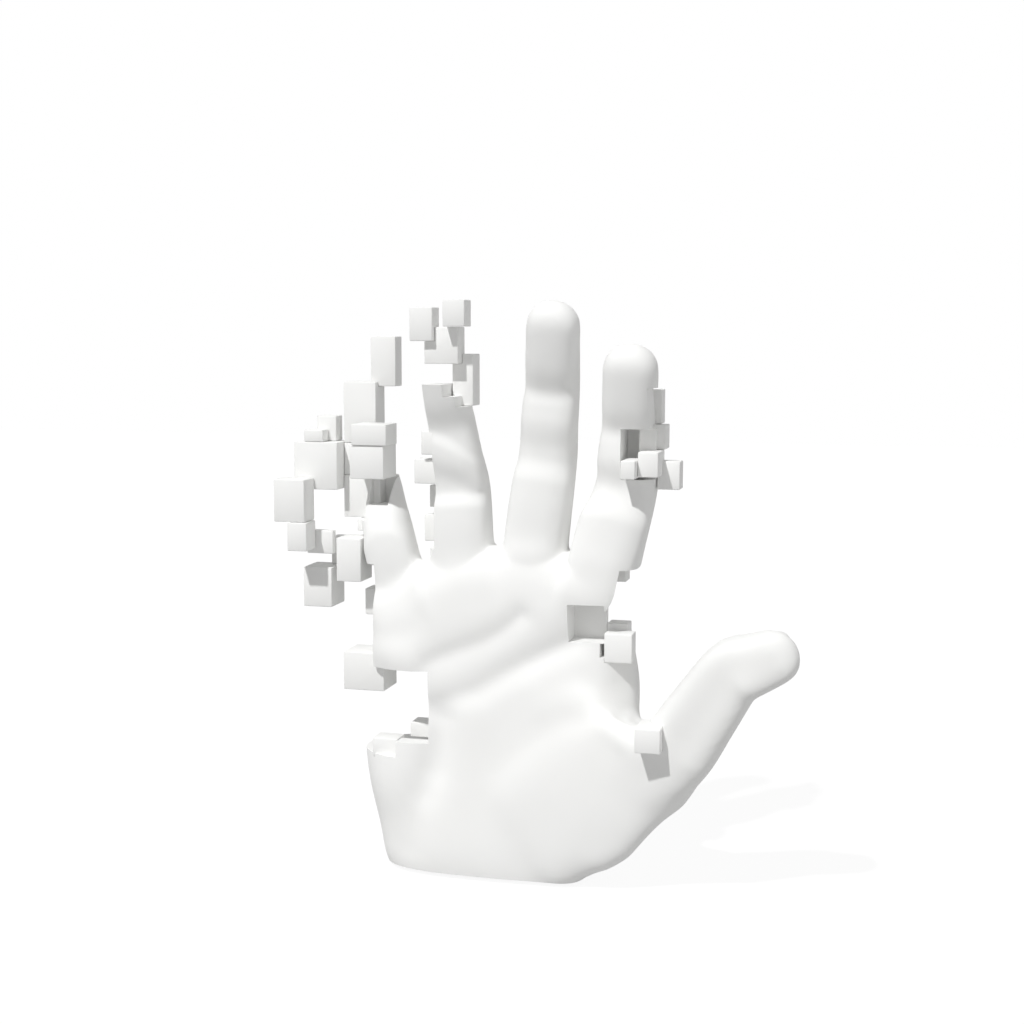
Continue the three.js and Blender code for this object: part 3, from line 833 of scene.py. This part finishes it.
for x, y, z in KNUCKLES:
    tendon = [(x, y, z)]
    tendon += [(share * x + shift, deep, level) for share, shift, deep, level in TENDON_STOPS]
    press(hand.data, tendon, *TENDON_MARK, BACK_SIDE)
    press(hand.data, [(x, y, z)], *KNUCKLE_MARK, BACK_SIDE)
for (xa, _, za), (xb, _, zb) in zip(KNUCKLES, KNUCKLES[1:]):
    press(hand.data, [((xa + xb) / 2, HOLLOW_DEPTH, (za + zb) / 2)], *HOLLOW_MARK, BACK_SIDE)
print("knuckles:", len(KNUCKLES))

# %% Wrinkles
ARC_STEP = math.radians(15)
ARC_STEPS = (-2, -1, 0, 1, 2)
ARC_MIDDLE = slice(2, 3)
JOINT_MARK = (5.5, 0.7)
WRINKLE_MARK = (0.9, -0.55)
WRINKLES = [
    # digit, station, places of the wrinkles along the finger from the joint
    ("index", 2, (-3, 0, 3)), ("middle", 2, (-3, 0, 3)), ("ring", 2, (-3, 0, 3)), ("little", 2, (-2, 1)),
    ("thumb", 4, (-3, 0, 3)), ("index", 4, (-2, 1)), ("middle", 4, (-2, 1)), ("ring", 4, (-2, 1)),
]


def arc_behind(stations, t, offset):
    centre, up, ahead, side, (wide, front, back) = limb_frame(stations, t)
    turns = [ARC_STEP * k for k in ARC_STEPS]
    arc = [centre + side * wide * math.sin(q) - ahead * back * math.cos(q) + up * offset for q in turns]
    return arc, -ahead


for name, t, offsets in WRINKLES:
    middle, behind = arc_behind(digit_shapes[name], t, 0)
    press(hand.data, middle[ARC_MIDDLE], *JOINT_MARK, behind)
    for offset in offsets:
        wrinkle, _ = arc_behind(digit_shapes[name], t, offset)
        press(hand.data, wrinkle, *WRINKLE_MARK, behind)
print("wrinkled joints:", len(WRINKLES))

# %% [markdown]
# ## Nails
# Three fingertips are whole, so three nails are there to see from behind. On a cast hand a nail is not a
# piece of its own: it is a plate that stands out a little from the skin, with a fold around it. Both come
# from one measure, which is 1 on the outline of a rounded square.

# %% Nails
NAILS = [
    # digit, half the width, half the length
    ("thumb", 6.6, 7.0),
    ("index", 5.8, 6.4),
    ("middle", 5.8, 6.6),
]
NAIL_PLACE = 5.75
NAIL_SQUARENESS = 3.5
NAIL_REACH = 7
BACK_LEAN = -0.05
PLATE_HEIGHT, PLATE_RIM = 0.45, 0.12
FOLD_DEPTH, FOLD_PLACE, FOLD_WIDTH = 0.5, 1.1, 0.11
NAIL_ROUNDS = 1


def shape_nail(mesh, stations, t, half_wide, half_long):
    points, normals = read_points(mesh)
    centre, up, ahead, side, (wide, front, back) = limb_frame(stations, t)
    offset = points - np.array(centre - ahead * back)
    across = np.abs(offset @ np.array(side) / half_wide)
    along = np.abs(offset @ np.array(up) / half_long)
    near = np.abs(offset @ np.array(ahead)) < NAIL_REACH
    near &= normals @ np.array(ahead) < BACK_LEAN
    rim = (across ** NAIL_SQUARENESS + along ** NAIL_SQUARENESS) ** (1 / NAIL_SQUARENESS)
    plate = PLATE_HEIGHT * np.clip((1.0 - rim) / PLATE_RIM, 0, 1)
    fold = -FOLD_DEPTH * np.exp(-((rim - FOLD_PLACE) / FOLD_WIDTH) ** 2)
    move_points(mesh, points, normals, np.where(near, plate + fold, 0))


for name, half_wide, half_long in NAILS:
    shape_nail(hand.data, digit_shapes[name], NAIL_PLACE, half_wide, half_long)
smooth_skin(hand, NAIL_ROUNDS, lambda p: 1)
print("nails:", len(NAILS))

# %% [markdown]
# ## Square bites
# The real castings are cut square wherever blocks come away, and the wrist is cut flat to stand on.
# Cutting the finished skin with boxes keeps those edges crisp, which no smoothing could. The cuts come
# after the sculpting for the same reason.

# %% Box helpers
def box_object(name, low, high):
    bm = bmesh.new()
    corners = bmesh.ops.create_cube(bm, size=1)["verts"]
    size = Vector(high) - Vector(low)
    bmesh.ops.scale(bm, verts=corners, vec=size)
    bmesh.ops.translate(bm, verts=corners, vec=Vector(low) + size / 2)
    return object_from(bm, name)


def cut_box(piece, low, high):
    cutter = box_object("cutter", low, high)
    cut = piece.modifiers.new("cut", "BOOLEAN")
    cut.operation = "DIFFERENCE"
    cut.solver = "MANIFOLD"
    cut.object = cutter
    apply_modifiers(piece)
    bpy.data.meshes.remove(cutter.data)


print("before the bites:", len(hand.data.vertices), "points")

# %% Cut boxes
FAR = 250
FOOT_LEVEL = 1.6
ULNAR_SIDE, ULNAR_HIGH = -39.4, 103
NOTCH_SIDE, NOTCH_LOW, NOTCH_HIGH = -19.2, 44.8, 69
HEEL_SIDE, HEEL_BACK, HEEL_LOW = -30.2, -9, 39.8
RADIAL_SIDE, RADIAL_LOW, RADIAL_HIGH = 38.4, 83.6, 104.8
INDEX_SIDE, INDEX_LOW, INDEX_HIGH = 43.7, 133.4, 149.5
RING_SIDE, RING_GAP = -18.3, -27
BITES = [
    # low corner, high corner
    # Flat cut of the wrist
    ((-FAR, -FAR, -FAR), (FAR, FAR, FOOT_LEVEL)),
    # Outer edge of the palm, and the notch in it with its steps down to the heel
    ((-FAR, -FAR, NOTCH_HIGH), (ULNAR_SIDE, FAR, ULNAR_HIGH)),
    ((-FAR, -FAR, NOTCH_LOW), (NOTCH_SIDE, FAR, NOTCH_HIGH)),
    ((-FAR, -FAR, HEEL_LOW), (HEEL_SIDE, FAR, NOTCH_HIGH)),
    ((-FAR, HEEL_BACK, HEEL_LOW), (NOTCH_SIDE, FAR, NOTCH_HIGH)),
    # Thumb side of the palm, its pocket and the slot below that
    ((RADIAL_SIDE, -12.5, RADIAL_LOW), (FAR, FAR, RADIAL_HIGH)),
    ((RADIAL_SIDE - 5, -1, RADIAL_LOW), (FAR, FAR, RADIAL_HIGH)),
    ((RADIAL_SIDE - 10.8, -40, 81), (RADIAL_SIDE + 1, -3, 93.5)),
    ((37.6, -40, 76.2), (39.4, -5, 80.6)),
    # Thumb side of the index finger, its pocket and the shallow cut above
    ((INDEX_SIDE, -FAR, INDEX_LOW), (FAR, -3.5, INDEX_HIGH)),
    ((INDEX_SIDE, -4.5, 139.5), (48.5, 2.5, INDEX_HIGH)),
    ((52.6, -FAR, INDEX_HIGH), (FAR, FAR, 162.5)),
    # Top of the ring finger, in three steps
    ((RING_GAP, -FAR, 163.1), (-7, FAR, FAR)),
    ((-13, -FAR, 159.2), (0, FAR, FAR)),
    ((-9.4, -FAR, 155.9), (0, FAR, FAR)),
    # Outer side of the ring finger
    ((RING_GAP, -FAR, 109), (RING_SIDE, FAR, 147.3)),
    ((-30, -FAR, 147), (RING_SIDE - 1.3, FAR, FAR)),
    # Top of the little finger and its two steps
    ((-FAR, -FAR, 131.5), (RING_GAP, FAR, FAR)),
    ((-43.3, -FAR, 122.3), (-36.1, 8, FAR)),
    ((-FAR, -FAR, 117), (-44.3, 2.5, FAR)),
]
for low, high in BITES:
    cut_box(hand, low, high)
print("after the bites:", len(hand.data.vertices), "points")

# %% [markdown]
# ## Block sockets
# On the real piece many blocks are let into pockets in the castings. The box of each CAD block, a hair
# larger, is cut from the skin where it reaches into it, so that every block sits in a clean socket and no
# two surfaces lie in the same place.

# %% Block sockets
SEAM = 0.05
BLOCK_NODES = [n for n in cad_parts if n.endswith("_block") or "_block_" in n]


def node_box(name, grow=0):
    low, high = (Vector(c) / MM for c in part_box(name))
    margin = Vector((grow, grow, grow))
    return low - margin, high + margin


skin_points, _ = read_points(hand.data)
for name in BLOCK_NODES:
    low, high = node_box(name, SEAM)
    if np.all((skin_points > low) & (skin_points < high), axis=1).any():
        cut_box(hand, low, high)
print("with sockets:", len(hand.data.vertices), "points")

# %% [markdown]
# ## Finishing the skin
# A finished piece is in metres, has its paint, and shades smoothly except where the surface turns
# sharply, as at the edges of the bites. The skin stands in for all six castings, since their joints are
# filled and painted over on the real piece.

# %% Finish the skin
SKIN_SHARP_DEGREES = 38
SKIN_NODES = [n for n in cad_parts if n.endswith("_casting")]


def finish_piece(piece, material, sharp_degrees):
    piece.data.transform(Matrix.Scale(MM, 4))
    piece.data.materials.clear()
    piece.data.materials.append(material)
    for polygon in piece.data.polygons:
        polygon.use_smooth = True
    piece.data.set_sharp_from_angle(angle=math.radians(sharp_degrees))
    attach(piece, "root")


finish_piece(hand, lacquer, SKIN_SHARP_DEGREES)
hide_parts(*SKIN_NODES)
print("hand skin:", len(hand.data.polygons), "faces")

# %% [markdown]
# ## Blocks
# The blocks are cast resin too, with edges that sanding and paint have softened. A bevel of a third of a
# millimetre is enough to catch a line of light. Four blocks have a neighbour let into one corner, so that
# corner is cut out of them first and then softened like the rest.

# %% Blocks
BLOCK_EDGE_MM = 0.3
BLOCK_TURN = 0.5
BLOCK_SHARP_DEGREES = 50
# Each block that has a corner cut out, and the block that sits in it
LET_IN = {
    "ring_post_block": "ring_core_block",
    "ring_core_block": "ring_outer_block",
    "little_tower_block_2": "little_tower_block_3",
    "index_block_3": "index_block_5",
}


def round_edges(bm, width, least_turn):
    edges = [e for e in bm.edges if e.calc_face_angle(0) > least_turn]
    bmesh.ops.bevel(
        bm, geom=edges, offset=width, offset_type="OFFSET", segments=2, profile=0.5,
        affect="EDGES", clamp_overlap=True, material=-1,
    )


def soften_edges(piece, width):
    bm = bmesh.new()
    bm.from_mesh(piece.data)
    round_edges(bm, width, BLOCK_TURN)
    bm.to_mesh(piece.data)
    bm.free()


for name in BLOCK_NODES:
    block = box_object(name + "_soft", *node_box(name))
    if name in LET_IN:
        cut_box(block, *node_box(LET_IN[name], SEAM))
    soften_edges(block, BLOCK_EDGE_MM)
    finish_piece(block, lacquer, BLOCK_SHARP_DEGREES)
    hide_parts(name)
print("blocks:", len(BLOCK_NODES))

# %% [markdown]
# ## Felt pad
# The pad is an oval cut from a sheet of felt and stuck under the wrist. A circle is stretched to the CAD
# pad's outline and raised to its thickness, and the cut edge is rounded as soft felt is.

# %% Felt pad
PAD_SIDES = 64
PAD_EDGE_MM = 0.3
PAD_TURN = 1

low, high = node_box("felt_pad")
bm = bmesh.new()
rim = bmesh.ops.create_circle(bm, cap_ends=True, segments=PAD_SIDES, radius=0.5)["verts"]
bmesh.ops.scale(bm, verts=rim, vec=(high.x - low.x, high.y - low.y, 1))
bmesh.ops.translate(bm, verts=rim, vec=((low.x + high.x) / 2, (low.y + high.y) / 2, low.z))
raised = bmesh.ops.extrude_face_region(bm, geom=bm.faces[:])["geom"]
upper = [g for g in raised if isinstance(g, bmesh.types.BMVert)]
bmesh.ops.translate(bm, verts=upper, vec=(0, 0, high.z - low.z))
bmesh.ops.recalc_face_normals(bm, faces=bm.faces[:])
round_edges(bm, PAD_EDGE_MM, PAD_TURN)
pad = object_from(bm, "felt_pad_soft")
finish_piece(pad, felt, BLOCK_SHARP_DEGREES)
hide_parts("felt_pad")
print("felt pad made,", round(high.z - low.z, 2), "mm thick")
